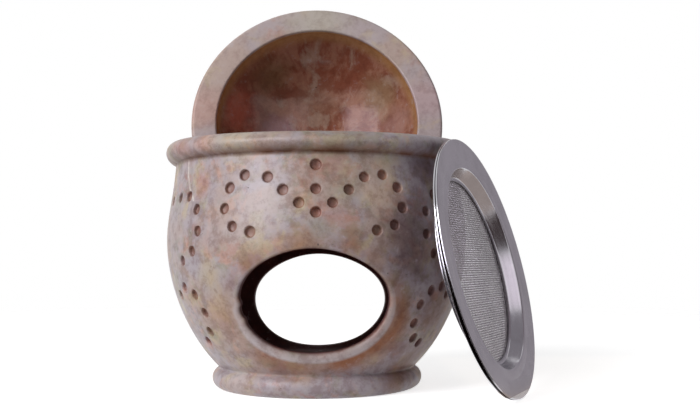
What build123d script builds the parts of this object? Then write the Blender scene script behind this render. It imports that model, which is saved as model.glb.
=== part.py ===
from build123d import *
import os
from math import cos, degrees, hypot, radians, sin, sqrt

# Driving dimensions, in millimetres and degrees. The front is -Y and the foot stands on Z = 0.
# The pot, one turned piece of stone
pot_height = 80.1
rim_radius = 49.8
rim_bead_radius = 4.0
rim_overhang = 3.2
belly_radius = 49.2
belly_height = 50.5
belly_low_point = (43.0, 22.0)
belly_low_slope = (0.72, 0.69)
shoulder_point = (47.8, 61.4)
neck_slope = (-0.06, 1.0)
foot_radius = 34.4
foot_bottom_radius = 31.5
foot_bulge_height = 2.8
foot_height = 6.6
crease_radius = 32.0
mouth_radius = 41.5
mouth_bottom_height = 70.0
lip_rounding = 2.5
wall_thickness = 7.2
chamber_low_point = (39.2, 30.0)
floor_height = 9.5
floor_radius = 24.0

# The oval openings for the candle: centre across, centre height, half width and half height
front_opening = (-0.7, 29.0, 22.0, 15.3)
back_opening = (0.6, 27.0, 24.0, 16.7)
opening_rounding = 2.0

# The drilled dots. Azimuth is 0 at the front and grows towards +X.
dot_diameter = 3.2
dot_depth = 2.0
column_heights = (54.6, 61.3, 68.3)
arm_dots = 3
arm_azimuth_step = 5.7
arm_base_height = 53.6
arm_height_step = 3.75

# Scrolls of dots on the front half, each a part circle: centre azimuth, centre height, radius,
# angle of the first dot, angle from dot to dot, and number of dots. Seen from outside, angles
# start at the right and grow anticlockwise.
scrolls = (
    (21.8, 57.7, 8.2, 76, -43, 5),
    (-23.6, 57.5, 8.4, 104, 43, 5),
    (54.0, 51.4, 11.0, 50, 36, 7),
    (-57.3, 51.0, 10.0, 110, -39, 6),
    (52.5, 24.5, 8.7, 45, 37.5, 7),
    (-58.5, 24.5, 8.3, 135, -43, 6),
)
side_dot_azimuth = 71.3
side_dot_height = 59.9

# The bowl, which stands on edge in the mouth and leans back, like a ball held by a ring
bowl_radius = 42.4
bowl_lean = 14.4
bowl_depth = 31.0
bowl_cavity_radius = 34.0
bowl_cavity_depth = 25.0
bowl_rim_rounding = 1.2
clearance = 0.3

# The sieve, which stands on the floor and leans on the rim's bead with its hem
sieve_radius = 40.0
sieve_sheet = 0.5
sieve_hem_radius = 0.9
sieve_bend_radius = 0.9
recess_radius = 31.0
recess_depth = 4.1
recess_floor_radius = 28.9
mesh_opening_radius = 27.8
mesh_radius = 28.7
mesh_thickness = 0.3
mesh_pitch = 3.0
mesh_gap = 2.3
clamp_ring_radius = 28.9
clamp_ring_thickness = 0.4
sieve_lean = 13.5
sieve_facing = -25.9
sieve_center_x = 51.75
sieve_center_y = -31.6

# Pot: the places on its section that follow from the driving dimensions
bead_center = rim_radius - rim_bead_radius
bead_height = pot_height - rim_bead_radius
neck_radius = rim_radius - rim_overhang
neck_height = bead_height - sqrt(rim_bead_radius**2 - (neck_radius - bead_center) ** 2)
lip_center = (mouth_radius + lip_rounding, pot_height - lip_rounding)
chamber_radius = belly_radius - wall_thickness

# Dots: the front half has a column, two rising arms and the scrolls. The back half repeats it.
dots = [(0, height) for height in column_heights]
dots += [(side * side_dot_azimuth, side_dot_height) for side in (-1, 1)]
for step in range(1, arm_dots + 1):
    for side in (-1, 1):
        dots.append((side * step * arm_azimuth_step, arm_base_height + step * arm_height_step))
for scroll_azimuth, scroll_height, scroll_radius, first_angle, angle_step, count in scrolls:
    for index in range(count):
        angle = radians(first_angle + index * angle_step)
        height = scroll_height + scroll_radius * sin(angle)
        across = degrees(scroll_radius * cos(angle) / belly_radius)
        dots.append((scroll_azimuth + across, height))
dots += [(180 - azimuth, height) for azimuth, height in dots]


def belly_plane(azimuth, height):
    """The plane that touches the belly at a height, facing out, by halving along the belly's curve."""
    low, high = 0.0, 1.0
    for _ in range(30):
        middle = (low + high) / 2
        if (belly @ middle).Y < height:
            low = middle
        else:
            high = middle
    radius, slope = (belly @ low).X, belly % low
    turn = radians(azimuth)
    outward = Vector(sin(turn), -cos(turn), 0)
    normal = outward * slope.Y - Vector(0, 0, slope.X)
    return Plane(outward * radius + Vector(0, 0, height), z_dir=normal)


# Pot: foot, belly, rim bead and chamber in one section
with BuildPart() as burner_body:
    with BuildSketch(Plane.XZ):
        with BuildLine():
            Line((0, 0), (foot_bottom_radius, 0))
            ThreePointArc(
                (foot_bottom_radius, 0),
                (foot_radius, foot_bulge_height),
                (crease_radius, foot_height),
            )
            belly = Spline(
                (crease_radius, foot_height),
                belly_low_point,
                (belly_radius, belly_height),
                shoulder_point,
                (neck_radius, neck_height),
                tangents=(belly_low_slope, neck_slope),
            )
            ThreePointArc(
                (neck_radius, neck_height),
                (rim_radius, bead_height),
                (bead_center, pot_height),
            )
            Line((bead_center, pot_height), (lip_center[0], pot_height))
            CenterArc(lip_center, lip_rounding, 90, 90)
            Line((mouth_radius, lip_center[1]), (mouth_radius, mouth_bottom_height))
            Spline(
                (mouth_radius, mouth_bottom_height),
                (chamber_radius, belly_height),
                chamber_low_point,
                (floor_radius, floor_height),
                tangents=((0, -1), (-1, 0)),
            )
            Line((floor_radius, floor_height), (0, floor_height))
            Line((0, floor_height), (0, 0))
        make_face()
    revolve(axis=Axis.Z)

    # The openings, front and back, with the outer edge of each rounded over
    for opening, toward in ((front_opening, 1), (back_opening, -1)):
        across, height, half_width, half_height = opening
        with BuildSketch(Plane.XZ):
            with Locations((across, height)):
                Ellipse(half_width, half_height)
        extrude(amount=toward * rim_radius, mode=Mode.SUBTRACT)
    edges_by_depth = burner_body.edges().sort_by(Axis.Y)
    fillet([edges_by_depth[0], edges_by_depth[-1]], radius=opening_rounding)

    # The dots, each drilled square to the belly
    with BuildSketch(*[belly_plane(azimuth, height) for azimuth, height in dots]):
        Circle(dot_diameter / 2)
    extrude(amount=dot_depth, both=True, mode=Mode.SUBTRACT)

# Bowl: its axis points out of its hollow side, to the front and up
bowl_axis = Vector(0, -cos(radians(bowl_lean)), sin(radians(bowl_lean)))
lip_reach = bowl_radius + lip_rounding + clearance
bowl_center_height = lip_center[1] + sqrt(lip_reach**2 - lip_center[0] ** 2)
bowl_center = Vector(0, 0, bowl_center_height)
bowl_section = Plane(bowl_center, x_dir=(1, 0, 0), z_dir=Vector(1, 0, 0).cross(bowl_axis))
bowl_base_radius = sqrt(bowl_radius**2 - bowl_depth**2)

with BuildPart() as oil_bowl:
    with BuildSketch(bowl_section) as bowl_outline:
        with BuildLine():
            Line((0, -bowl_depth), (bowl_base_radius, -bowl_depth))
            RadiusArc((bowl_base_radius, -bowl_depth), (bowl_radius, 0), -bowl_radius)
            Line((bowl_radius, 0), (bowl_cavity_radius, 0))
            EllipticalCenterArc(
                (0, 0),
                bowl_cavity_radius,
                bowl_cavity_depth,
                start_angle=270,
                arc_size=90,
            )
            Line((0, -bowl_cavity_depth), (0, -bowl_depth))
        make_face()
        fillet(bowl_outline.vertices().group_by(Axis.Y)[-1], radius=bowl_rim_rounding)
    revolve(axis=Axis(bowl_center, bowl_axis))

# Sieve: the normal points out of the recess, away from the pot and up
facing = radians(sieve_facing)
lean = radians(sieve_lean)
sieve_normal = Vector(cos(facing) * cos(lean), sin(facing) * cos(lean), sin(lean))
sieve_across = Vector(-sin(facing), cos(facing), 0)
hem_center = (sieve_radius - sieve_hem_radius, -sieve_sheet / 2)
sieve_center_height = hem_center[0] * cos(lean) - hem_center[1] * sin(lean) + sieve_hem_radius
sieve_center = Vector(sieve_center_x, sieve_center_y, sieve_center_height)
sieve_section = Plane(sieve_center, x_dir=sieve_across, z_dir=sieve_across.cross(sieve_normal))
sieve_face = Plane(sieve_center, x_dir=sieve_across, z_dir=sieve_normal)
recess_back = -recess_depth - sieve_sheet

with BuildPart() as sieve_flange:
    with BuildSketch(sieve_section) as flange_outline:
        with BuildLine():
            Polyline(
                (mesh_opening_radius, -recess_depth),
                (recess_floor_radius, -recess_depth),
                (recess_radius, 0),
                (hem_center[0], 0),
                (hem_center[0], -sieve_sheet),
                (recess_radius + sieve_sheet, -sieve_sheet),
                (recess_floor_radius + sieve_sheet, recess_back),
                (mesh_opening_radius, recess_back),
                close=True,
            )
        make_face()
        bends = flange_outline.vertices().filter_by(
            lambda corner: mesh_opening_radius < corner.X < hem_center[0]
        )
        fillet(bends, radius=sieve_bend_radius)
        with Locations(hem_center):
            Circle(sieve_hem_radius)
    revolve(axis=Axis(sieve_center, sieve_normal))

# Mesh: one sheet with square gaps, kept inside the clamped edge
gap_reach = mesh_opening_radius - mesh_gap / sqrt(2)
gaps_each_way = int(mesh_opening_radius / mesh_pitch)
gap_places = [
    (column * mesh_pitch, row * mesh_pitch)
    for column in range(-gaps_each_way, gaps_each_way + 1)
    for row in range(-gaps_each_way, gaps_each_way + 1)
    if hypot(column, row) * mesh_pitch < gap_reach
]

with BuildPart() as sieve_mesh:
    with BuildSketch(sieve_face.offset(recess_back)):
        Circle(mesh_radius)
        with Locations(*gap_places):
            Rectangle(mesh_gap, mesh_gap, mode=Mode.SUBTRACT)
    extrude(amount=-mesh_thickness)

# Clamp ring: flat behind the mesh, whose edge it holds against the plate
with BuildPart() as sieve_clamp_ring:
    with BuildSketch(sieve_face.offset(recess_back - mesh_thickness)):
        Circle(clamp_ring_radius)
        Circle(mesh_opening_radius, mode=Mode.SUBTRACT)
    extrude(amount=-clamp_ring_thickness)

# One file for each piece
pieces = {
    "burner_body": burner_body,
    "oil_bowl": oil_bowl,
    "sieve_flange": sieve_flange,
    "sieve_mesh": sieve_mesh,
    "sieve_clamp_ring": sieve_clamp_ring,
}
os.makedirs("parts", exist_ok=True)
for name, piece in pieces.items():
    piece.part.label = name
    export_step(piece.part, f"parts/{name}.step")
print("mesh gaps", len(gap_places), "dots", len(dots))
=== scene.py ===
import random
from math import asin, atan2, cos, hypot, pi, radians, sin, sqrt

import bmesh
import bpy
import numpy as np
from mathutils import Matrix, Vector, noise
from mathutils.geometry import delaunay_2d_cdt


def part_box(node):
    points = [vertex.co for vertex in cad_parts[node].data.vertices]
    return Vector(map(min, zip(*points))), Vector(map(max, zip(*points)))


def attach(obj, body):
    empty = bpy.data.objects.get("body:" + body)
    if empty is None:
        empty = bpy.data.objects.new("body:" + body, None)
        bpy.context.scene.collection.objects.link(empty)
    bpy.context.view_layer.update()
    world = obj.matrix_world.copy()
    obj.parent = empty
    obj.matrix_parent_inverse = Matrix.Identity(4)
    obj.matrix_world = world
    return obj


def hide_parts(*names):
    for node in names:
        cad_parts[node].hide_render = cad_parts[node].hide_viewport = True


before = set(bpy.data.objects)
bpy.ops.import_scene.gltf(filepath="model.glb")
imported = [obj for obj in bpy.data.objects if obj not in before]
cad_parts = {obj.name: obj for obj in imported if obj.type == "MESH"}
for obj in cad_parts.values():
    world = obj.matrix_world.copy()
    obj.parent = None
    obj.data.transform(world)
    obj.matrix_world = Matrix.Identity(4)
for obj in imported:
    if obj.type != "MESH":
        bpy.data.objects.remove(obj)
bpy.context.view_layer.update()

# The object's sizes are in millimetres and degrees, as on its drawing. make_piece turns them into
# metres. The front is -Y, and a turn is 0 at the front and grows towards +X.
MM = 0.001

# The pot
pot_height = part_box("burner_body")[1].z / MM
rim_radius = 49.8
rim_bead_radius = 4.0
rim_overhang = 3.2
belly_radius = 49.2
belly_height = 50.5
belly_low_point = (43.0, 22.0)
belly_low_slope = (0.72, 0.69)
shoulder_point = (47.8, 61.4)
neck_slope = (-0.06, 1.0)
foot_radius = 34.4
foot_bottom_radius = 31.5
foot_bulge_height = 2.8
foot_height = 6.6
crease_radius = 32.0
mouth_radius = 41.5
mouth_bottom_height = 70.0
lip_rounding = 2.5
wall_thickness = 7.2
chamber_low_point = (39.2, 30.0)
floor_height = 9.5
floor_radius = 24.0

# The oval openings: centre across, centre height, half width and half height. Their outer edge is
# flared, a little above and broadly below. At the front a few lumps of stone stand in from it: angle
# and spread in radians, and reach.
front_opening = (-0.7, 29.0, 22.0, 15.3)
back_opening = (0.6, 27.0, 24.0, 16.7)
flare_above = 0.9
flare_below = 3.3
opening_inner_bevel = 0.8
opening_unevenness = 0.25
front_lumps = ((3.17, 0.07, 0.7), (3.5, 0.06, 0.5))

# The stained ring round the flare of an opening, strongest at one angle, in radians, and faint elsewhere
stain_offset = 1.2
stain_width = 2.6
stain_angle = -0.8
stain_least = 0.3

# The drilled dots
dot_radius = 1.6
dot_lip = 0.35
dot_depth = 1.2
dot_taper = 0.12
dot_floor_rounding = 0.3
dot_point_depth = 0.2
dot_size_spread = (0.94, 1.06)
dot_depth_spread = (0.85, 1.1)
dot_lip_angles = (20, 45, 68, 90)
dot_floor_angles = (0, 45, 90)
dot_seed = 7
column_heights = (54.6, 61.3, 68.3)
arm_dots = 3
arm_turn_step = 5.7
arm_base_height = 53.6
arm_height_step = 3.75

# Scrolls of dots: centre turn, centre height, radius, first angle, angle from dot to dot, count
scrolls = (
    (21.8, 57.7, 8.2, 76, -43, 5),
    (-23.6, 57.5, 8.4, 104, 43, 5),
    (54.0, 51.4, 11.0, 50, 36, 7),
    (-57.3, 51.0, 10.0, 110, -39, 6),
    (52.5, 24.5, 8.7, 45, 37.5, 7),
    (-58.5, 24.5, 8.3, 135, -43, 6),
)
side_dot_turn = 71.3
side_dot_height = 59.9

# Hand work on the stone: the rim's front is cut lower than its sides, and surfaces wander a little
rim_drop = 2.1
hand_wave = 0.12
hand_wave_length = 22.0

# The bowl
bowl_radius = 42.4
bowl_lean = 14.4
bowl_depth = 31.0
bowl_cavity_radius = 34.0
bowl_cavity_depth = 25.0
bowl_outer_rounding = 1.2
bowl_inner_rounding = 0.6
bowl_base_rounding = 1.2
bowl_base_edge = 4.0
bowl_gap = 0.3

# The sieve. Its hem is folded sheet, and the fold's gap stands open on one side.
sieve_radius = 40.0
sieve_sheet = 0.5
sieve_hem_radius = 0.9
sieve_bend_radius = 0.9
hem_half = 0.72
hem_corner = 0.24
fold_depth = 0.45
fold_lip = 0.1
fold_closed = 0.1
fold_open = 0.85
fold_open_angle = 212
fold_open_spread = 42
dish_start_radius = 34.0
dish_bend_radius = 3.6
recess_radius = 31.0
recess_depth = 4.1
recess_floor_radius = 28.9
mesh_opening_radius = 27.8
ledge_line = 0.3
mesh_radius = 28.6
mesh_thickness = 0.3
wire_pitch = 0.7
wire_half_width = 0.23
clamp_ring_radius = 28.9
clamp_ring_thickness = 0.4
clamp_ring_rounding = 0.12
sieve_lean = 13.5
sieve_facing = -25.9
sieve_center_x = 51.75
sieve_center_y = -31.6

# How finely the meshes are divided
columns = 288
dot_columns = 20
opening_columns = 112
outer_spacing = 1.15
inner_spacing = 2.0
bowl_columns = 200
sieve_columns = 240
curve_steps = 40
foot_steps = 18
bead_steps = 24
lip_steps = 8
mouth_steps = 6
floor_rings = 8
flare_steps = 7
wall_steps = 4
inner_edge_steps = 3

# Places that follow from the sizes above
bead_center = rim_radius - rim_bead_radius
bead_height = pot_height - rim_bead_radius
neck_radius = rim_radius - rim_overhang
neck_height = bead_height - sqrt(rim_bead_radius**2 - (neck_radius - bead_center) ** 2)
lip_center = (mouth_radius + lip_rounding, pot_height - lip_rounding)
chamber_radius = belly_radius - wall_thickness
opening_angles = np.arange(opening_columns) * 2 * pi / opening_columns


# Curves

def arc(center, radius, first, last, steps):
    """Points on a circle from one angle to another, in degrees."""
    angles = np.radians(np.linspace(first, last, steps + 1))
    return [(center[0] + radius * cos(a), center[1] + radius * sin(a)) for a in angles]


def arc_through(start, middle, end, steps):
    """Points on the circle through three points."""
    matrix = np.array([np.subtract(middle, start), np.subtract(end, middle)]) * 2
    squares = [np.dot(p, p) for p in (start, middle, end)]
    center = np.linalg.solve(matrix, [squares[1] - squares[0], squares[2] - squares[1]])
    first, last = (atan2(p[1] - center[1], p[0] - center[0]) for p in (start, end))
    if last < first:
        last += 2 * pi
    return arc(center, np.linalg.norm(start - center), np.degrees(first), np.degrees(last), steps)


def smooth_curve(points, first_slope, last_slope, steps):
    """Points on the cubic spline through some points, with its slope given at both ends."""
    points = np.array(points, float)
    spans = np.linalg.norm(np.diff(points, axis=0), axis=1)
    count = len(points)
    matrix = np.eye(count)
    wanted = np.zeros((count, 2))
    wanted[0] = np.array(first_slope) / hypot(*first_slope)
    wanted[-1] = np.array(last_slope) / hypot(*last_slope)
    for i in range(1, count - 1):
        before, after = 1 / spans[i - 1], 1 / spans[i]
        matrix[i, i - 1 : i + 2] = before, 2 * (before + after), after
        wanted[i] = 3 * (points[i] - points[i - 1]) * before**2
        wanted[i] += 3 * (points[i + 1] - points[i]) * after**2
    slopes = np.linalg.solve(matrix, wanted)
    curve = []
    for i in range(count - 1):
        for t in np.arange(steps) / steps:
            point = points[i] * (1 + 2 * t) * (1 - t) ** 2 + points[i + 1] * t * t * (3 - 2 * t)
            point += spans[i] * (slopes[i] * t * (1 - t) ** 2 - slopes[i + 1] * t * t * (1 - t))
            curve.append(tuple(point))
    return curve + [tuple(points[-1])]


def rounded(corners, radii, steps=6):
    """A closed outline whose corners are rounded by arcs, each of its own radius or none."""
    outline = []
    for i, corner in enumerate(corners):
        corner = np.array(corner, float)
        if not radii[i]:
            outline.append(tuple(corner))
            continue
        back = np.subtract(corners[i - 1], corner)
        ahead = np.subtract(corners[(i + 1) % len(corners)], corner)
        back, ahead = back / np.linalg.norm(back), ahead / np.linalg.norm(ahead)
        half_angle = np.arccos(np.clip(back @ ahead, -1, 1)) / 2
        middle = (back + ahead) / np.linalg.norm(back + ahead)
        center = corner + middle * radii[i] / sin(half_angle)
        start = corner + back * radii[i] / np.tan(half_angle) - center
        end = corner + ahead * radii[i] / np.tan(half_angle) - center
        for t in np.arange(steps + 1) / steps:
            spoke = start * (1 - t) + end * t
            outline.append(tuple(center + spoke * radii[i] / np.linalg.norm(spoke)))
    return outline


# Meshes are gathered patch by patch

class Skin:
    """Points, faces and named marks on the points, gathered for one mesh."""

    def __init__(self):
        self.points = []
        self.faces = []
        self.marks = {}

    def add(self, points, **marks):
        """New points, with one value of each mark for all of them or one for each."""
        first = len(self.points)
        self.points.extend(tuple(point) for point in points)
        numbers = list(range(first, len(self.points)))
        for mark, values in marks.items():
            values = np.broadcast_to(values, len(numbers)).tolist()
            self.marks.setdefault(mark, {}).update(zip(numbers, values))
        return numbers

    def strip(self, ring, following):
        """Faces between two closed rings of as many points each, or from a ring to one point."""
        for i in range(len(ring)):
            j = (i + 1) % len(ring)
            if len(following) == 1:
                self.faces.append((ring[i], ring[j], following[0]))
            else:
                self.faces.append((ring[i], ring[j], following[j], following[i]))

    def lathe(self, profile, count, **marks):
        """A surface turned about Z from (radius, height) points. A mark has one value for each of them."""
        before = None
        for index, (radius, height) in enumerate(profile):
            turns = np.arange(count) * 2 * pi / count
            ring = [(radius * sin(t), -radius * cos(t), height) for t in turns]
            values = {mark: levels[index] for mark, levels in marks.items()}
            numbers = self.add(ring if radius > 0 else ring[:1], **values)
            if before:
                ring, following = (before, numbers) if len(before) > 1 else (numbers, before)
                self.strip(ring, following)
            before = numbers

    def wheel(self, sections, **marks):
        """A closed ring with a section of its own at each turn. A mark has one value for each point."""
        rings = []
        for turn, section in enumerate(sections):
            angle = 2 * pi * turn / len(sections)
            points = [(radius * cos(angle), radius * sin(angle), height) for radius, height in section]
            rings.append(self.add(points, **{mark: values[turn] for mark, values in marks.items()}))
        for ring, following in zip(rings, rings[1:] + rings[:1]):
            self.strip(ring, following)


class Turned:
    """A turned surface whose profile rises, measured along its length."""

    def __init__(self, profile):
        self.radii, self.heights = np.array(profile).T
        steps = np.hypot(np.diff(self.radii), np.diff(self.heights))
        self.lengths = np.concatenate(([0], np.cumsum(steps)))

    def radius_at(self, height):
        return float(np.interp(height, self.heights, self.radii))

    def length_at(self, height):
        return float(np.interp(height, self.heights, self.lengths))

    def point(self, turn, length, toward):
        """The point at a turn in radians, on the front half for a toward of -1, else on the back."""
        radius = np.interp(length, self.lengths, self.radii)
        height = np.interp(length, self.lengths, self.heights)
        return np.array((radius * sin(turn), toward * radius * cos(turn), height))

    def outward(self, turn, length, toward, step=0.2):
        """The direction that faces out of the surface."""
        run = np.interp((length - step, length + step), self.lengths, self.radii)
        rise = np.interp((length - step, length + step), self.lengths, self.heights)
        slope = np.array((run[1] - run[0], rise[1] - rise[0]))
        slope /= np.linalg.norm(slope)
        return np.array((slope[1] * sin(turn), toward * slope[1] * cos(turn), -slope[0]))

    def seen_from_front(self, across, height, toward):
        """The point of the surface that has this place across and this height."""
        radius = self.radius_at(height)
        return np.array((across, toward * sqrt(radius**2 - across**2), height))


def outside(loop, points, margin):
    """Which points are outside a round loop by some margin."""
    middle = loop.mean(axis=0)
    spokes = loop - middle
    angles = np.arctan2(spokes[:, 1], spokes[:, 0])
    order = np.argsort(angles)
    around = points - middle
    reach = np.interp(
        np.arctan2(around[:, 1], around[:, 0]),
        angles[order],
        np.hypot(*spokes[order].T),
        period=2 * pi,
    )
    return np.hypot(*around.T) > reach + margin


def half_patch(skin, surface, toward, loops, spacing, **marks):
    """Half of a turned surface in triangles, open inside each loop. Returns the loops' point numbers.
    The surface is laid flat: across is the turn times the belly's radius, up is the profile's length."""
    side = pi / 2 * belly_radius
    top = surface.lengths[-1]
    across = np.linspace(-side, side, columns // 2 + 1)
    rows = np.linspace(0, top, round(top / spacing) + 1)
    border = [(x, edge) for x in across for edge in (0, top)]
    border += [(edge, y) for y in rows[1:-1] for edge in (-side, side)]
    steps = round(2 * side / spacing)
    grid = [
        (-side + 2 * side * (i + 0.5 * (j % 2)) / steps, y)
        for j, y in enumerate(rows[1:-1])
        for i in range(1, steps)
    ]
    grid = np.array(grid)
    for loop in loops:
        grid = grid[outside(loop, grid, spacing / 2)]
    flat = border + [tuple(p) for p in grid]
    owner = [None] * len(flat)
    edges = []
    for number, loop in enumerate(loops):
        first = len(flat)
        flat += [tuple(p) for p in loop]
        owner += [number] * len(loop)
        edges += [(first + i, first + (i + 1) % len(loop)) for i in range(len(loop))]
    made, _, faces, sources, _, _ = delaunay_2d_cdt([Vector(p) for p in flat], edges, [], 0, 1e-6)
    points = [surface.point(p.x / belly_radius, p.y, toward) for p in made]
    numbers = skin.add(points, **marks)
    made_from = {source: number for number, found in zip(numbers, sources) for source in found}
    owners = [owner[found[0]] if found else None for found in sources]
    for face in faces:
        holders = {owners[corner] for corner in face}
        if len(holders) > 1 or None in holders:
            skin.faces.append(tuple(numbers[corner] for corner in face))
    first = len(flat) - sum(len(loop) for loop in loops)
    found = []
    for loop in loops:
        found.append([made_from[first + i] for i in range(len(loop))])
        first += len(loop)
    return found


# The pot

def dot_places():
    """The turn, in radians, and the height of each dot on one half."""
    places = [(0, height) for height in column_heights]
    places += [(side * side_dot_turn, side_dot_height) for side in (-1, 1)]
    for step in range(1, arm_dots + 1):
        for side in (-1, 1):
            places.append((side * step * arm_turn_step, arm_base_height + step * arm_height_step))
    places = [(radians(turn), height) for turn, height in places]
    for turn, height, radius, first, angle_step, count in scrolls:
        for index in range(count):
            angle = radians(first + index * angle_step)
            across = radius * cos(angle) / belly_radius
            places.append((radians(turn) + across, height + radius * sin(angle)))
    return places


def dot_ring(surface, turn, height, radius):
    """A circle about a dot's centre, as turns and lengths on the surface."""
    local_radius = surface.radius_at(height)
    length = surface.length_at(height)
    angles = np.arange(dot_columns) * 2 * pi / dot_columns
    return [(turn + radius * cos(a) / local_radius, length + radius * sin(a)) for a in angles]


def drill_dot(skin, surface, toward, turn, height, ring, size, depth):
    """A blind hole with a worn lip, joined to its ring of points on the surface."""
    inward = -surface.outward(turn, surface.length_at(height), toward)
    section = []
    for angle in np.radians(dot_lip_angles):
        share = 1 + dot_lip * (1 - sin(angle)) / dot_radius
        section.append((share, dot_lip * (1 - cos(angle)), angle / pi))
    floor_edge = 1 - dot_taper / dot_radius
    rounding = dot_floor_rounding / dot_radius
    for angle in np.radians(dot_floor_angles):
        share = floor_edge - rounding * (1 - cos(angle))
        section.append((share, depth - dot_floor_rounding * (1 - sin(angle)), 1))
    section.append((floor_edge / 2, depth + dot_point_depth / 2, 1))
    for share, down, pit in section:
        places = dot_ring(surface, turn, height, share * size)
        points = [surface.point(t, s, toward) + inward * down for t, s in places]
        following = skin.add(points, pit=pit)
        skin.strip(ring, following)
        ring = following
    bottom = surface.point(turn, surface.length_at(height), toward) + inward * (depth + dot_point_depth)
    skin.strip(ring, skin.add([bottom], pit=1))


def flare(angle):
    """How wide the outer edge of an opening is rounded over, at an angle round the opening."""
    below = (1 - np.sin(angle)) / 2
    return flare_above + (flare_below - flare_above) * below * below * (3 - 2 * below)


def slight(angle):
    """How wide the inner edge of an opening is rounded over, the same all round."""
    return opening_inner_bevel


def opening_ring(opening, growth=None):
    """The outline of an opening grown by some width, as places across and heights, cut by hand."""
    across, height, half_width, half_height = opening
    ring = []
    for angle in opening_angles:
        stray = opening_unevenness * (sin(3 * angle + 1) + sin(5 * angle)) / 2
        if opening == front_opening:
            for place, spread, reach in front_lumps:
                stray -= reach * np.exp(-(((angle - place) / spread) ** 2))
        stray += growth(angle) if growth else 0
        x = across + (half_width + stray) * cos(angle)
        ring.append((x, height + (half_height + stray) * sin(angle)))
    return ring


def on_surface(surface, ring):
    """A ring of places across and heights, as flat places for half_patch."""
    places = []
    for across, height in ring:
        turn = asin(across / surface.radius_at(height))
        places.append((turn * belly_radius, surface.length_at(height)))
    return np.array(places)


def rounded_edge(surface, opening, toward, growth, inward, steps):
    """Rings from the surface, round the opening's edge, onto the wall through the stone."""
    rings = []
    outer, inner = opening_ring(opening, growth), opening_ring(opening)
    for t in np.arange(1, steps + 1) / steps:
        ring = []
        for angle, (far_x, far_z), (x, z) in zip(opening_angles, outer, inner):
            start = surface.seen_from_front(far_x, far_z, toward)
            corner = surface.seen_from_front(x, z, toward)
            end = corner + np.array((0, inward * growth(angle), 0))
            ring.append(start * (1 - t) ** 2 + corner * 2 * t * (1 - t) + end * t * t)
        rings.append(ring)
    return rings


def stained_ring(points):
    """How near points are to the stained ring round an opening's flare, from 0 to 1."""
    nearness = np.zeros(len(points))
    for toward, (across, height, half_width, half_height) in ((-1, front_opening), (1, back_opening)):
        x = (points[:, 0] - across) / half_width
        z = (points[:, 2] - height) / half_height
        growth = (np.hypot(x, z) - 1) * (half_width + half_height) / 2
        angle = np.arctan2(z, x)
        away = growth - flare(angle) - stain_offset
        strength = np.maximum(np.cos(angle - stain_angle), stain_least)
        here = strength * np.exp(-((away / stain_width) ** 2)) * (points[:, 1] * toward > 0)
        nearness = np.maximum(nearness, here)
    return nearness


def stain_and_shade_under_bead(points, fade_above=0.8, fade_below=0.2):
    """How near points are to the groove under the rim's bead, from 0 to 1, fading up and down from it: a
    mark for a brown stain and painted shade under the bead.
    """
    beyond = np.hypot(points[:, 0], points[:, 1]) > bead_center
    rise = (points[:, 2] - neck_height) / (bead_height - neck_height)
    above = np.clip(1 - rise / fade_above, 0, 1) ** 2
    below = np.clip(1 + rise / fade_below, 0, 1)
    return beyond * np.where(rise > 0, above, below)


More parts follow.
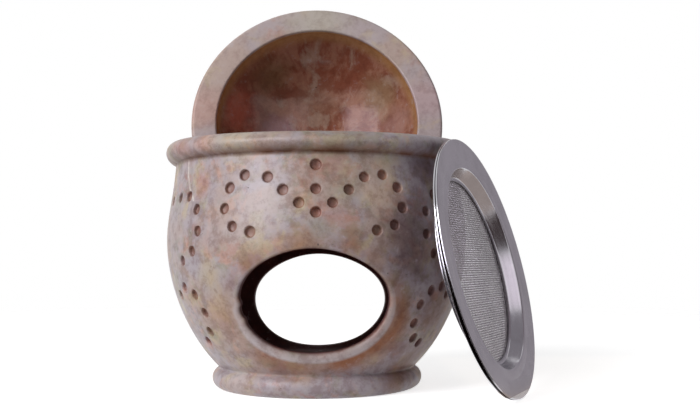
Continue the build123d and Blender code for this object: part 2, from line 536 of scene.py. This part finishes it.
def build_pot():
    """The pot's skin: foot, belly with dots and openings, rim, chamber and floor."""
    skin = Skin()
    draw = random.Random(dot_seed)
    crease, neck = (crease_radius, foot_height), (neck_radius, neck_height)
    belly_points = [crease, belly_low_point, (belly_radius, belly_height), shoulder_point, neck]
    belly = Turned(smooth_curve(belly_points, belly_low_slope, neck_slope, curve_steps))
    chamber_points = [
        (floor_radius, floor_height),
        chamber_low_point,
        (chamber_radius, belly_height),
        (mouth_radius, mouth_bottom_height),
    ]
    chamber = Turned(smooth_curve(chamber_points, (1, 0), (0, 1), curve_steps))
    foot = arc_through((foot_bottom_radius, 0), (foot_radius, foot_bulge_height), crease, foot_steps)
    skin.lathe([(0, 0), (foot_bottom_radius / 2, 0)] + foot, columns)
    bead = arc_through(neck, (rim_radius, bead_height), (bead_center, pot_height), bead_steps)
    lip = arc(lip_center, lip_rounding, 90, 180, lip_steps)
    drops = np.arange(1, mouth_steps + 1) / mouth_steps
    mouth = [(mouth_radius, lip_center[1] + (mouth_bottom_height - lip_center[1]) * t) for t in drops]
    # Painted shade down the mouth and on the chamber's floor: the mark grows from none at the lip to full
    # below.
    skin.lathe(bead + lip + mouth, columns, soot=[0] * len(bead + lip) + drops.tolist())
    floor = [(radius, floor_height) for radius in np.linspace(floor_radius, 0, floor_rings)]
    skin.lathe(floor, columns, soot=[1] * len(floor))

    dots = dot_places()
    for toward, opening in ((-1, front_opening), (1, back_opening)):
        sizes = [dot_radius * draw.uniform(*dot_size_spread) for _ in dots]
        rings = [
            np.array(dot_ring(belly, turn, height, size * (1 + dot_lip / dot_radius)))
            for (turn, height), size in zip(dots, sizes)
        ]
        loops = [ring * (belly_radius, 1) for ring in rings]
        loops.append(on_surface(belly, opening_ring(opening, flare)))
        found = half_patch(skin, belly, toward, loops, outer_spacing)
        for (turn, height), size, ring in zip(dots, sizes, found):
            depth = dot_depth * draw.uniform(*dot_depth_spread)
            drill_dot(skin, belly, toward, turn, height, ring, size, depth)
        # The chamber's inner wall carries full painted shade.
        inner_loop = on_surface(chamber, opening_ring(opening, slight))
        inner = half_patch(skin, chamber, toward, [inner_loop], inner_spacing, soot=1)[0]
        outer_edge = rounded_edge(belly, opening, toward, flare, -toward, flare_steps)
        inner_edge = rounded_edge(chamber, opening, toward, slight, toward, inner_edge_steps)
        # Painted highlight: the flare's lower bevel faces up to the light and is painted paler, most at
        # the bottom of each opening.
        bevel_highlight = (flare(opening_angles) / flare_below) ** 2
        wall = [
            [np.array(a) * (1 - t) + np.array(b) * t for a, b in zip(outer_edge[-1], inner_edge[-1])]
            for t in np.arange(1, wall_steps) / wall_steps
        ]
        # Painted shade on the openings' cut walls, darker on the front one, and growing from the flare
        # inwards.
        wall_shade = 1 if opening == front_opening else 0.5
        through = []
        for share, points in zip(np.linspace(1, 0, len(outer_edge)), outer_edge):
            through.append((points, {"edge": bevel_highlight * share, "soot": (1 - share) ** 2}))
        through += [(points, {"soot": wall_shade}) for points in wall]
        through += [(points, {"soot": 1}) for points in reversed(inner_edge[:-1])]
        ring = found[-1]
        for points, marks in through:
            following = skin.add(points, **marks)
            skin.strip(ring, following)
            ring = following
        skin.strip(ring, inner)
    points = np.array(skin.points)
    skin.marks["stain"] = dict(enumerate(stained_ring(points).tolist()))
    skin.marks["under"] = dict(enumerate(stain_and_shade_under_bead(points).tolist()))
    skin.points = hand_made(skin.points)
    return skin


def hand_made(points):
    """Stone points with the front of the rim cut lower, and the whole a little uneven."""
    points = np.array(points)
    radius = np.maximum(np.hypot(points[:, 0], points[:, 1]), 1)
    facing = -points[:, 1] / radius
    softness = 0.04
    front = (facing + np.sqrt(facing**2 + softness)) / 2
    rise = np.clip((points[:, 2] - neck_height) / (pot_height - neck_height), 0, 1)
    points[:, 2] -= rim_drop * front * rise * rise * (3 - 2 * rise)
    waves = np.array([noise.noise(Vector(point) / hand_wave_length) for point in points])
    points[:, :2] *= (1 + hand_wave * (waves - 1) / radius)[:, None]
    return points


# The bowl and the sieve are made about Z and then laid in place

def build_bowl():
    """A round bowl with a flat base, a flat rim and an oval hollow."""
    skin = Skin()
    # The arcs stop short of base and rim, where roundings take over
    outer_start, outer_end, inner_start = 7, -4, 2
    base_radius = sqrt(bowl_radius**2 - bowl_depth**2)
    base_angle = -np.degrees(np.arccos(base_radius / bowl_radius))
    outer = arc((0, 0), bowl_radius, base_angle, 0, curve_steps)
    angles = np.radians(np.linspace(0, 90, curve_steps))
    cavity = [(bowl_cavity_radius * cos(a), -bowl_cavity_depth * sin(a)) for a in angles]
    rim = rounded(
        [outer[outer_end], (bowl_radius, 0), (bowl_cavity_radius, 0), cavity[inner_start]],
        [0, bowl_outer_rounding, bowl_inner_rounding, 0],
        steps=7,
    )
    base_rounding = rounded(
        [(base_radius - bowl_base_edge, -bowl_depth), (base_radius, -bowl_depth), outer[outer_start - 1]],
        [0, bowl_base_rounding, 0],
        steps=5,
    )
    base = [(0, -bowl_depth), (base_radius / 2, -bowl_depth)] + base_rounding
    outside_profile = base + outer[outer_start:outer_end] + rim[:-1]
    inside_profile = cavity[inner_start:-1] + [(0, -bowl_cavity_depth)]
    hollow = [0] * len(outside_profile) + [-depth / bowl_cavity_depth for _, depth in inside_profile]
    skin.lathe(outside_profile + inside_profile, bowl_columns, hollow=hollow)
    waves = [noise.noise(Vector(p) / hand_wave_length) for p in skin.points]
    scales = [1 + hand_wave * (wave - 1) / bowl_radius for wave in waves]
    skin.points = [np.array(point) * scale for point, scale in zip(skin.points, scales)]
    return skin


def flange_section(angle):
    """The pressed steel plate at an angle: ledge of the mesh, sloping wall, brim and folded hem.
    Returns the section and how much painted shade each of its points gets: in the fold's gap and at the
    ledge's edge."""
    hem = (sieve_radius - sieve_hem_radius, -sieve_sheet / 2)
    hem_inside, hem_outside = hem[0] - hem_half, hem[0] + hem_half
    hem_back, hem_front = hem[1] - hem_half, hem[1] + hem_half
    away = (angle - fold_open_angle + 180) % 360 - 180
    gap = fold_closed + (fold_open - fold_closed) * np.exp(-((away / fold_open_spread) ** 2))
    recess_back = -recess_depth - sieve_sheet
    bend = sieve_bend_radius
    fold_reach = 0.75 * hem_half
    corners = [
        ((mesh_opening_radius, -recess_depth), 0),
        ((mesh_opening_radius + ledge_line, -recess_depth), 0),
        ((recess_floor_radius, -recess_depth), bend),
        ((recess_radius, 0), bend),
        ((dish_start_radius, 0), dish_bend_radius),
        ((hem_outside, hem_front), hem_corner),
        ((hem_outside, hem[1] + gap / 2), fold_lip),
        ((hem_outside - fold_depth, hem[1] + gap / 2), 0),
        ((hem_outside - fold_depth, hem[1] - gap / 2), 0),
        ((hem_outside, hem[1] - gap / 2), fold_lip),
        ((hem_outside, hem_back), hem_corner),
        ((hem_inside, hem_back), hem_corner),
        ((hem_inside, -sieve_sheet), 0),
        ((recess_radius + sieve_sheet, -sieve_sheet), bend),
        ((recess_floor_radius + sieve_sheet, recess_back), bend),
        ((mesh_opening_radius, recess_back), 0),
    ]
    section = rounded([corner for corner, _ in corners], [radius for _, radius in corners])
    # Painted shade in the fold's gap, full deep in it and fading to its lips.
    dark = []
    for radius, height in section:
        in_fold = radius > hem[0] and abs(height - hem[1]) < fold_reach
        dark.append(min((hem_outside - radius) / fold_lip, 1) if in_fold else 0)
    # Painted shade: a dark line at the ledge's edge, where the mesh meets the plate.
    dark[0] = 1
    return section, dark


def build_flange():
    """The plate, with its own section at each angle."""
    skin = Skin()
    made = [flange_section(360 * turn / sieve_columns) for turn in range(sieve_columns)]
    skin.wheel([section for section, _ in made], fold=[dark for _, dark in made])
    return skin


def build_clamp_ring():
    """A flat ring behind the mesh."""
    skin = Skin()
    front = -recess_depth - sieve_sheet - mesh_thickness
    back = front - clamp_ring_thickness
    outline = rounded(
        [
            (mesh_opening_radius, front),
            (clamp_ring_radius, front),
            (clamp_ring_radius, back),
            (mesh_opening_radius, back),
        ],
        [clamp_ring_rounding] * 4,
        steps=4,
    )
    skin.lathe(outline + outline[:1], sieve_columns)
    return skin


def build_wire_cloth():
    """Rolled wires that pass over and under each other, one family across and one up."""
    skin = Skin()
    half_thickness = mesh_thickness / 4
    middle = -recess_depth - sieve_sheet - mesh_thickness / 2
    wires_each_way = int(mesh_radius / wire_pitch)
    corners = [(cos(a), sin(a)) for a in np.radians((90, 210, 330))]
    for family in (0, 1):
        for wire in range(-wires_each_way, wires_each_way + 1):
            offset = wire * wire_pitch
            steps = int(sqrt(mesh_radius**2 - offset**2) / wire_pitch * 2)
            ring = None
            for step in range(-steps, steps + 1):
                along = step * wire_pitch / 2
                lift = half_thickness * cos(pi * step / 2) * (-1) ** (wire + family)
                points = []
                for sideways, up in corners:
                    place = (along, offset + wire_half_width * sideways)
                    x, y = place if family == 0 else place[::-1]
                    points.append((x, y, middle + lift + half_thickness * up))
                following = skin.add(points)
                if ring:
                    skin.strip(ring, following)
                else:
                    skin.faces.append(tuple(following))
                ring = following
            skin.faces.append(tuple(ring))
    return skin


def placed(center, across, normal):
    """The matrix, in metres, of a piece whose own Z points along a normal."""
    turned = Matrix((across, normal.cross(across), normal)).transposed().to_4x4()
    return Matrix.Translation(center * MM) @ turned


def bowl_place():
    """The bowl leans back on edge, held by the mouth's lip all round."""
    lean = radians(bowl_lean)
    reach = bowl_radius + lip_rounding + bowl_gap
    height = lip_center[1] + sqrt(reach**2 - lip_center[0] ** 2)
    return placed(Vector((0, 0, height)), Vector((1, 0, 0)), Vector((0, -cos(lean), sin(lean))))


def sieve_place():
    """The sieve stands on the floor and leans on the rim."""
    facing, lean = radians(sieve_facing), radians(sieve_lean)
    normal = Vector((cos(facing) * cos(lean), sin(facing) * cos(lean), sin(lean)))
    height = (sieve_radius - sieve_hem_radius) * cos(lean) + sieve_sheet / 2 * sin(lean) + sieve_hem_radius
    center = Vector((sieve_center_x, sieve_center_y, height))
    return placed(center, Vector((-sin(facing), cos(facing), 0)), normal)


def add_object(name, data):
    """A new object in the scene."""
    thing = bpy.data.objects.new(name, data)
    bpy.context.scene.collection.objects.link(thing)
    return thing


def make_piece(name, skin, place, body, node, material):
    """One mesh from a skin, in place of a node of the frame."""
    mesh = bpy.data.meshes.new(name)
    mesh.from_pydata((np.array(skin.points) * MM).tolist(), [], skin.faces)
    own = mesh.attributes.new("own_place", "FLOAT_VECTOR", "POINT")
    own.data.foreach_set("vector", (np.array(skin.points) * MM).astype(np.float32).ravel())
    for mark, values in skin.marks.items():
        layer = mesh.attributes.new(mark, "FLOAT", "POINT")
        for number, value in values.items():
            layer.data[number].value = value
    work = bmesh.new()
    work.from_mesh(mesh)
    bmesh.ops.remove_doubles(work, verts=work.verts, dist=1e-7)
    bmesh.ops.recalc_face_normals(work, faces=work.faces)
    work.to_mesh(mesh)
    work.free()
    mesh.transform(place)
    mesh.shade_smooth()
    mesh.materials.append(material)
    piece = add_object(name, mesh)
    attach(piece, body)
    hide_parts(node)
    return piece


# Materials

def srgb(red, green, blue):
    """A colour given by its 0 to 255 screen levels, as the shaders take it."""
    levels = np.array((red, green, blue)) / 255
    linear = np.where(levels <= 0.04045, levels / 12.92, ((levels + 0.055) / 1.055) ** 2.4)
    return (*linear.tolist(), 1.0)


class Shader:
    """A material's nodes, each linked by the sockets of those before it."""

    def __init__(self, name):
        self.material = bpy.data.materials.new(name)
        self.material.use_nodes = True
        self.tree = self.material.node_tree
        self.surface = self.tree.nodes["Principled BSDF"]
        self.position = self.node("ShaderNodeTexCoord").outputs["Object"]

    def fill(self, sockets, values):
        """Links or sets sockets, each with the value at its place."""
        for socket, value in zip(sockets, values):
            if isinstance(value, bpy.types.NodeSocket):
                self.tree.links.new(value, socket)
            else:
                socket.default_value = value

    def set(self, node, **inputs):
        self.fill([node.inputs[name.replace("_", " ")] for name in inputs], inputs.values())
        return node

    def node(self, kind, **inputs):
        return self.set(self.tree.nodes.new(kind), **inputs)

    def noise(self, size, seed, detail=3.0, roughness=0.55, place=None, distortion=0.0):
        """A noise whose patches measure about size millimetres."""
        node = self.tree.nodes.new("ShaderNodeTexNoise")
        node.noise_dimensions = "4D"
        self.set(node, Vector=place or self.position, W=seed, Scale=1 / (size * MM))
        self.set(node, Detail=detail, Roughness=roughness, Distortion=distortion)
        return node

    def between(self, value, low, high, to_low=0.0, to_high=1.0):
        """A value that passes softly from one level to another."""
        node = self.tree.nodes.new("ShaderNodeMapRange")
        node.interpolation_type = "SMOOTHSTEP"
        self.set(node, Value=value, From_Min=low, From_Max=high, To_Min=to_low, To_Max=to_high)
        return node.outputs[0]

    def math(self, operation, first, second):
        node = self.tree.nodes.new("ShaderNodeMath")
        node.operation = operation
        self.fill(node.inputs, (first, second))
        return node.outputs[0]

    def vector(self, operation, *values, output="Vector"):
        node = self.tree.nodes.new("ShaderNodeVectorMath")
        node.operation = operation
        self.fill(node.inputs, values)
        return node.outputs[output]

    def mix(self, factor, first, second, blend="MIX"):
        node = self.tree.nodes.new("ShaderNodeMix")
        node.data_type = "RGBA"
        node.blend_type = blend
        self.fill([node.inputs[i] for i in (0, 6, 7)], (factor, first, second))
        return node.outputs[2]

    def mark(self, name, output="Fac"):
        node = self.tree.nodes.new("ShaderNodeAttribute")
        node.attribute_name = name
        return node.outputs[output]


def add_patches(shader, color, patches, warp, position):
    """Soft patches of colour about points: place in millimetres, reach, colour and strength."""
    spread = 1.6 * warp * MM
    wander = shader.noise(warp, 3.1, 4).outputs["Color"]
    wandering = shader.vector("MULTIPLY_ADD", wander, (spread,) * 3, position)
    for place, reach, tint, strength in patches:
        middle = [p * MM + spread / 2 for p in place]
        away = shader.vector("DISTANCE", wandering, middle, output="Value")
        factor = shader.between(away, reach * MM, 0.15 * reach * MM, 0, strength)
        color = shader.mix(factor, color, tint)
    return color


def add_vein(shader, color, places, width, tint, strength):
    """A thin vein of another colour along straight runs between places, in millimetres."""
    nearest = 1.0
    for start, end in zip(places, places[1:]):
        start, run = Vector(start) * MM, (Vector(end) - Vector(start)) * MM
        offset = shader.vector("SUBTRACT", shader.position, start)
        share = shader.vector("DOT_PRODUCT", offset, run / run.length_squared, output="Value")
        share = shader.math("MAXIMUM", shader.math("MINIMUM", share, 1.0), 0.0)
        foot = shader.vector("MULTIPLY", run, share)
        away = shader.vector("DISTANCE", offset, foot, output="Value")
        nearest = shader.math("MINIMUM", away, nearest)
    return shader.mix(shader.between(nearest, width * MM, 0.2 * width * MM, 0, strength), color, tint)


# Tones of the stone and of the steel
lavender = srgb(177, 166, 173)
grey_pink = srgb(182, 160, 152)
salmon = srgb(182, 128, 110)
cream = srgb(198, 182, 144)
ochre = srgb(170, 128, 76)
olive = srgb(156, 150, 130)
peach = srgb(204, 160, 142)
mauve = srgb(104, 80, 84)
maroon = srgb(112, 56, 48)
rust = srgb(152, 92, 54)
brown = srgb(120, 76, 52)
pale = srgb(202, 193, 196)
speck = srgb(58, 50, 48)
sand = srgb(214, 188, 168)
chalk = srgb(226, 218, 214)
sheet_grey = srgb(186, 184, 190)
wire_grey = srgb(176, 172, 176)
fold_shade = srgb(34, 28, 28)


def stone_color(shader, tones):
    """Mottled soapstone: clouds of several tones over two main ones. Each tone is given by its colour,
    size in millimetres, seed, the level at which it starts and its strength."""
    base = shader.mix(shader.between(shader.noise(16, 1.0, 5).outputs[0], 0.44, 0.58), lavender, grey_pink)
    for tint, size, seed, start, strength in tones:
        cloud = shader.noise(size, seed, 6, 0.62, distortion=0.5).outputs[0]
        base = shader.mix(shader.between(cloud, start, start + 0.11, 0, strength), base, tint)
    return base


def finish_stone(shader, color, roughness, grain_depth):
    """Grain, specks and a waxed surface on a stone colour."""
    grain = shader.noise(3.2, 9.0, 6, 0.68).outputs[0]
    darker = shader.between(grain, 0.56, 0.36, 0, grain_depth)
    color = shader.mix(darker, color, srgb(168, 136, 124), "MULTIPLY")
    color = shader.mix(shader.between(grain, 0.56, 0.74, 0, 0.4), color, pale)
    flecks = shader.noise(1.3, 12.0, 2).outputs[0]
    thinned = shader.between(shader.noise(9, 13.0, 2).outputs[0], 0.48, 0.6, 0, 0.75)
    factor = shader.math("MULTIPLY", shader.between(flecks, 0.69, 0.75), thinned)
    color = shader.mix(factor, color, speck)
    relief = shader.noise(1.1, 15.0, 4).outputs[0]
    bump = shader.node("ShaderNodeBump", Strength=0.25, Distance=0.0002, Height=relief)
    unevenness = shader.between(shader.noise(7, 16.0).outputs[0], 0.3, 0.7, -0.04, 0.06)
    shader.set(shader.surface, Base_Color=color, Roughness=shader.math("ADD", roughness, unevenness))
    shader.set(shader.surface, Normal=bump.outputs[0], Specular_IOR_Level=0.3)
    return shader.material


def on_belly(turn, height, radius=48.0):
    """The place on the pot at a turn and a height."""
    return (radius * sin(radians(turn)), -radius * cos(radians(turn)), height)


def pot_stone():
    """Mottled stone with listed patches, a crack and stains, with painted highlights and painted shade
    laid in its colour.
    """
    shader = Shader("pot_stone")
    tones = [
        (salmon, 13, 2.3, 0.54, 0.6),
        (cream, 11, 4.7, 0.53, 0.6),
        (olive, 9, 5.9, 0.53, 0.6),
        (mauve, 12, 7.4, 0.61, 0.45),
        (peach, 6, 50.3, 0.54, 0.5),
        (olive, 5, 51.6, 0.54, 0.45),
    ]
    color = stone_color(shader, tones)
    patches = [
        # Painted highlight: the first two pale patches lie on the left front of the belly, where the
        # lamp's light falls brightest.
        (on_belly(-18, 57), 13, pale, 0.4),
        (on_belly(-28, 48), 9, pale, 0.25),
        (on_belly(-46, 64), 7, salmon, 0.6),
        (on_belly(-66, 50), 14, lavender, 0.5),
        (on_belly(-42, 49), 9, lavender, 0.5),
        (on_belly(25, 69), 7, cream, 0.35),
        (on_belly(6, 54), 7, salmon, 0.4),
        (on_belly(-5, 46), 7, ochre, 0.5),
        (on_belly(1, 50), 6, olive, 0.5),
        (on_belly(12, 47), 6, rust, 0.5),
        (on_belly(-22, 41), 6, rust, 0.5),
        (on_belly(-40, 27, 45), 8, salmon, 0.5),
        (on_belly(-41, 37), 7, cream, 0.45),
        # Partly painted shade: the mauve patches on the right, at turns 33 to 62, are mauve stone and also
        # painted shade on the side turned from the lamp and near the sieve.
        (on_belly(33, 48), 13, mauve, 0.75),
        (on_belly(38, 58), 8, mauve, 0.5),
        (on_belly(45, 68), 10, mauve, 0.7),
        (on_belly(62, 45), 24, mauve, 0.8),
        (on_belly(22, 60), 8, sand, 0.5),
        (on_belly(-38, 29, 45), 8, cream, 0.45),
        (on_belly(35, 40), 9, mauve, 0.6),
        # Partly painted shade: the brown patches low on the right and on the foot, at turns 43 to 54, are
        # brown stone and also painted shade on the side turned from the lamp.
        (on_belly(54, 26, 44), 12, brown, 0.55),
        (on_belly(43, 5, 34), 9, brown, 0.5),
        (on_belly(26, 17, 41), 7, rust, 0.7),
        (on_belly(15, 11, 36), 7, rust, 0.5),
        (on_belly(-15, 9, 35), 7, brown, 0.5),
        (on_belly(-24, 12, 37), 6, rust, 0.45),
        (on_belly(38, 14, 39), 8, maroon, 0.6),
        (on_belly(54, 10, 36), 11, brown, 0.7),
        (on_belly(-45, 5, 34), 9, pale, 0.5),
        (on_belly(-57, 75, 50), 9, salmon, 0.6),
        (on_belly(-43, 76, 50), 7, peach, 0.6),
        (on_belly(-30, 77, 49), 12, cream, 0.5),
        (on_belly(8, 77, 49), 14, olive, 0.4),
        (on_belly(10, 62), 8, olive, 0.4),
    ]
    color = add_patches(shader, color, patches, 6, shader.position)
    crack = [
        (-57.3, 71.8, 46.5),
        (-56.4, 66.9, 46.9),
        (-53.3, 62.4, 47.6),
        (-50, 59.2, 48.1),
    ]
    crack = [on_belly(*place) for place in crack]
    color = add_vein(shader, color, crack, 0.7, chalk, 0.75)
    blotches = shader.noise(8, 18.0, 4).outputs[0]
    stain = shader.math("MULTIPLY", shader.mark("stain"), shader.between(blotches, 0.36, 0.58, 0.45, 1.0))
    color = shader.mix(stain, color, rust)
    # Partly a brown stain and partly painted shade under the rim's bead.
    under = shader.math("MULTIPLY", shader.mark("under"), shader.between(blotches, 0.4, 0.6, 0.55, 1.0))
    color = shader.mix(under, color, brown)
    color = shader.mix(shader.mark("pit"), color, srgb(206, 174, 162), "MULTIPLY")
    # Painted highlight: the lower flare round each opening is painted paler.
    color = shader.mix(shader.math("MULTIPLY", shader.mark("edge"), 0.9), color, pale)
    # Painted shade: the chamber, the mouth and the openings' cut walls are painted darker, and made
    # rougher.
    soot = shader.mark("soot")
    color = shader.mix(soot, color, srgb(140, 84, 82), "MULTIPLY")
    return finish_stone(shader, color, shader.between(soot, 0.1, 0.7, 0.4, 0.9), grain_depth=0.45)


def bowl_stone():
    """Pale mottled stone, richer and more polished in the hollow, with an ochre band at its edge."""
    shader = Shader("bowl_stone")
    own = shader.mark("own_place", "Vector")
    tones = [
        (salmon, 12, 22.3, 0.52, 0.6),
        (cream, 9, 24.7, 0.54, 0.5),
        (olive, 8, 25.9, 0.58, 0.4),
        (mauve, 10, 27.4, 0.61, 0.4),
    ]
    color = shader.mix(0.3, stone_color(shader, tones), srgb(208, 184, 174))
    streaks = shader.vector("MULTIPLY", own, (1, 1, 0.25))
    deep = shader.noise(8, 31.0, 6, 0.62, place=streaks, distortion=0.4).outputs[0]
    rich = shader.mix(shader.between(deep, 0.42, 0.56), srgb(172, 122, 102), srgb(142, 84, 66))
    light = shader.noise(9, 33.0, 6, 0.62, place=streaks, distortion=0.4).outputs[0]
    rich = shader.mix(shader.between(light, 0.51, 0.64, 0, 0.65), rich, srgb(190, 164, 148))
    patches = [
        # Partly painted light: this red patch on the hollow's left wall is red stone, made lighter to
        # stand in for light on that wall, which lies in shade.
        ((-27, 8, -12), 12, srgb(216, 112, 94), 0.75),
        ((-16, 22, -12), 11, srgb(134, 112, 78), 0.5),
        ((-14, 4, -22), 10, srgb(178, 142, 156), 0.7),
        ((0, 16, -21), 12, srgb(152, 122, 104), 0.4),
        ((22, 16, -14), 11, srgb(158, 136, 106), 0.55),
        ((27, 4, -13), 9, srgb(172, 136, 130), 0.6),
        ((11, -2, -23), 9, srgb(126, 108, 118), 0.7),
    ]
    rich = add_patches(shader, rich, patches, 6, own)
    rim_patches = [
        ((0, 38, 0), 16, srgb(200, 194, 174), 0.5),
        ((37, 8, 0), 13, srgb(200, 162, 166), 0.45),
        ((-37, 4, 0), 12, srgb(198, 148, 138), 0.45),
    ]
    color = add_patches(shader, color, rim_patches, 6, own)
    depth = shader.mark("hollow")
    color = shader.mix(shader.between(depth, 0.0, 0.04, 0, 0.85), color, srgb(186, 134, 76))
    color = shader.mix(shader.between(depth, 0.1, 0.32), color, rich)
    return finish_stone(shader, color, shader.between(depth, 0.0, 0.1, 0.42, 0.1), grain_depth=0.28)


def steel(name, color, roughness, spun):
    """Bright steel, clouded a little. Spun sheet has faint rings about its middle, and painted shade in
    its fold and at the ledge's edge.
    """
    shader = Shader(name)
    grain = shader.tree.nodes.new("ShaderNodeTexNoise")
    if spun:
        grain.noise_dimensions = "1D"
        radius = shader.vector("LENGTH", shader.mark("own_place", "Vector"), output="Value")
        shader.set(grain, W=radius, Scale=1800.0, Detail=3.0)
    else:
        shader.set(grain, Vector=shader.position, Scale=2500.0, Detail=2.0)
    cloud = shader.between(shader.noise(9, 41.0, 4).outputs[0], 0.35, 0.65, 1.0, 0.86)
    tint = shader.vector("SCALE", color[:3])
    shader.set(tint.node, Scale=cloud)
    # Painted shade: the fold's gap and the ledge's edge are darkened in colour.
    tint = shader.mix(shader.mark("fold"), tint, fold_shade)
    polish = shader.between(grain.outputs[0], 0.3, 0.7, roughness - 0.04, roughness + 0.06)
    bump = shader.node("ShaderNodeBump", Strength=0.06, Distance=0.00005, Height=grain.outputs[0])
    shader.set(shader.surface, Base_Color=tint, Roughness=polish, Normal=bump.outputs[0], Metallic=1.0)
    return shader.material


# The studio: places and lengths in metres, angles in degrees, the lens in millimetres

camera_place = Vector((2.79, -308.7, 40.28)) * MM
camera_yaw = 1.507
camera_pitch = 3.266
camera_roll = -0.1375
camera_lens = 47.57
ambient_level = 0.17
floor_reach = 0.6
floor_fade = 0.35
floor_glow = 0.72
key_place = (-0.57, -0.59, 0.57)
key_size = (0.5, 0.5)
key_power = 6.4
pot_middle = Vector((0, 0, 0.05))
sieve_middle = (0.05, -0.03, 0.04)


def add_camera():
    """The camera, placed and turned as it was for the photograph."""
    data = bpy.data.cameras.new("camera")
    data.lens = camera_lens
    data.sensor_width = 36.0
    data.clip_start = 0.01
    camera = add_object("camera", data)
    camera.matrix_world = (
        Matrix.Translation(camera_place)
        @ Matrix.Rotation(radians(-camera_yaw), 4, "Z")
        @ Matrix.Rotation(radians(90 + camera_pitch), 4, "X")
        @ Matrix.Rotation(radians(camera_roll), 4, "Z")
    )
    bpy.context.scene.camera = camera


def add_light(name, place, size, power):
    """A soft lamp that shines on the pot."""
    data = bpy.data.lights.new(name, "AREA")
    data.shape = "RECTANGLE"
    data.size, data.size_y = size
    data.energy = power
    light = add_object(name, data)
    light.location = place
    light.rotation_euler = (pot_middle - Vector(place)).to_track_quat("-Z", "Y").to_euler()
    light.visible_camera = False


def add_world():
    """White where the camera, metal and glass see it, and a plain soft light on everything else."""
    world = bpy.data.worlds.new("studio")
    bpy.context.scene.world = world
    world.use_nodes = True
    tree = world.node_tree
    tree.nodes.clear()
    path = tree.nodes.new("ShaderNodeLightPath")
    seen = path.outputs["Is Camera Ray"]
    for kind in ("Is Glossy Ray", "Is Transmission Ray"):
        either = tree.nodes.new("ShaderNodeMath")
        either.operation = "MAXIMUM"
        tree.links.new(seen, either.inputs[0])
        tree.links.new(path.outputs[kind], either.inputs[1])
        seen = either.outputs[0]
    lights = []
    for strength in (ambient_level, 1.0):
        background = tree.nodes.new("ShaderNodeBackground")
        background.inputs["Strength"].default_value = strength
        background.inputs["Color"].default_value = (1, 1, 1, 1)
        lights.append(background)
    mix = tree.nodes.new("ShaderNodeMixShader")
    tree.links.new(seen, mix.inputs[0])
    for socket, background in zip(mix.inputs[1:], lights):
        tree.links.new(background.outputs[0], socket)
    output = tree.nodes.new("ShaderNodeOutputWorld")
    tree.links.new(mix.outputs[0], output.inputs["Surface"])


def add_floor():
    """A pale floor that fades into the white background."""
    mesh = bpy.data.meshes.new("floor")
    work = bmesh.new()
    bmesh.ops.create_circle(work, cap_ends=True, segments=96, radius=floor_reach)
    work.to_mesh(mesh)
    work.free()
    floor = add_object("floor", mesh)
    shader = Shader("floor")
    away = shader.vector("LENGTH", shader.position, output="Value")
    fade = shader.between(away, floor_reach, floor_fade * floor_reach)
    shader.set(shader.surface, Alpha=fade, Base_Color=(0.93, 0.93, 0.93, 1), Roughness=0.9)
    path = shader.node("ShaderNodeLightPath")
    seen = shader.math("MAXIMUM", path.outputs["Is Camera Ray"], path.outputs["Is Glossy Ray"])
    seen = shader.math("MAXIMUM", seen, path.outputs["Is Transmission Ray"])
    glow = shader.math("MULTIPLY", seen, floor_glow)
    shader.set(shader.surface, Emission_Color=(1, 1, 1, 1), Emission_Strength=glow)
    mesh.materials.append(shader.material)


def add_card(name, place, size, level, aim):
    """A plain card that only reflections see, so that bright metal has something grey to show."""
    mesh = bpy.data.meshes.new(name)
    work = bmesh.new()
    bmesh.ops.create_grid(work, x_segments=1, y_segments=1, size=0.5)
    work.to_mesh(mesh)
    work.free()
    card = add_object(name, mesh)
    card.location = place
    card.scale = (*size, 1)
    card.rotation_euler = (Vector(aim) - Vector(place)).to_track_quat("Z", "Y").to_euler()
    card.visible_camera = False
    card.visible_diffuse = False
    card.visible_shadow = False
    shader = Shader(name)
    shader.set(shader.surface, Base_Color=(0, 0, 0, 1), Roughness=1.0, Emission_Strength=1.0)
    shader.set(shader.surface, Emission_Color=(*level, 1))
    mesh.materials.append(shader.material)


# The pieces

standing = Matrix.Identity(4)
make_piece("stone_pot", build_pot(), standing, "burner", "burner_body", pot_stone())
make_piece("stone_bowl", build_bowl(), bowl_place(), "bowl", "oil_bowl", bowl_stone())
sheet_steel = steel("sieve_steel", sheet_grey, roughness=0.2, spun=True)
wire_steel = steel("sieve_wire", wire_grey, roughness=0.3, spun=False)
leaning = sieve_place()
sieve_pieces = (
    ("steel_flange", build_flange, "sieve_flange", "sieve_steel", sheet_steel),
    ("clamp_band", build_clamp_ring, "sieve_clamp_ring", "sieve_steel", sheet_steel),
    ("wire_cloth", build_wire_cloth, "sieve_mesh", "sieve_wire", wire_steel),
)
for name, build, node, slot, material in sieve_pieces:
    make_piece(name, build(), leaning, "sieve", node, material)

# The cards: name, place, size, level and the place that each one faces
cards = (
    ("window", (-0.6, -0.64, 0.3), (0.6, 0.5), (5.0, 4.8, 5.5), sieve_middle),
    ("right_card", (0.72, 0.66, 0.15), (1.4, 1.2), (0.39, 0.36, 0.39), sieve_middle),
    ("front_flag", (-0.1, -1.1, 0.6), (0.75, 1.5), (0.06, 0.05, 0.05), sieve_middle),
    ("right_flag", (1.0, -0.1, 0.5), (0.8, 1.2), (0.26, 0.22, 0.24), sieve_middle),
    ("top_card", (0.25, 0.15, 0.9), (0.8, 1.3), (0.32, 0.3, 0.32), (0.25, 0.15, 0)),
    ("strip_card", (0.244, -0.808, 0.449), (0.3, 0.95), (1.5, 1.38, 1.48), sieve_middle),
    ("beige_flag", (0.13, 0.02, 0.002), (0.16, 0.14), (0.55, 0.47, 0.42), (0.13, 0.02, 1)),
    ("floor_flag", (0.1, -0.26, 0.002), (0.5, 0.41), (0.06, 0.04, 0.04), (0.1, -0.26, 1)),
)

add_camera()
add_world()
add_floor()
add_light("key", key_place, key_size, key_power)
for card in cards:
    add_card(*card)
bpy.context.scene.view_settings.view_transform = "Standard"
